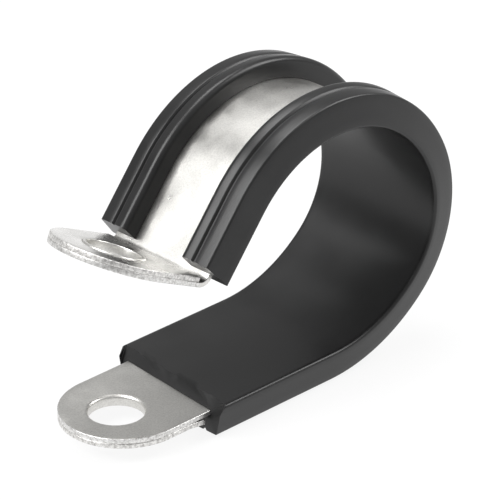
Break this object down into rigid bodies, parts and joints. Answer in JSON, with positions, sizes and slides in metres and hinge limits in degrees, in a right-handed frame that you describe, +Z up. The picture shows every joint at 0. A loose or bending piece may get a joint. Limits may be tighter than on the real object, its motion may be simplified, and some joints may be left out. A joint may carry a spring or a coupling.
{
  "type": "p clip",
  "caption": "Open P clip: a bent steel band in a rubber liner with raised edge lips, and a reinforcing plate on each round-ended fixing tab.",
  "frame": {"origin": "axis of the lower tab's screw hole, at the outer face of the lower plate, which is the face that bolts down", "axes": "+Z up out of the lower tab towards the loop, +X from the lower hole towards the loop, +Y along the cable that the loop holds"},
  "size_m": [0.0525, 0.0186, 0.0353],
  "materials": {
    "zinc_plated_band": "satin zinc plating with a fine grain",
    "black_rubber": "smooth black rubber with a soft sheen",
    "zinc_plated_plate": "bright zinc plating"
  },
  "bodies": {
    "root": {"steel_band": "zinc_plated_band", "rubber_liner": "black_rubber", "upper_plate": "zinc_plated_plate", "lower_plate": "zinc_plated_plate"}
  },
  "joints": []
}
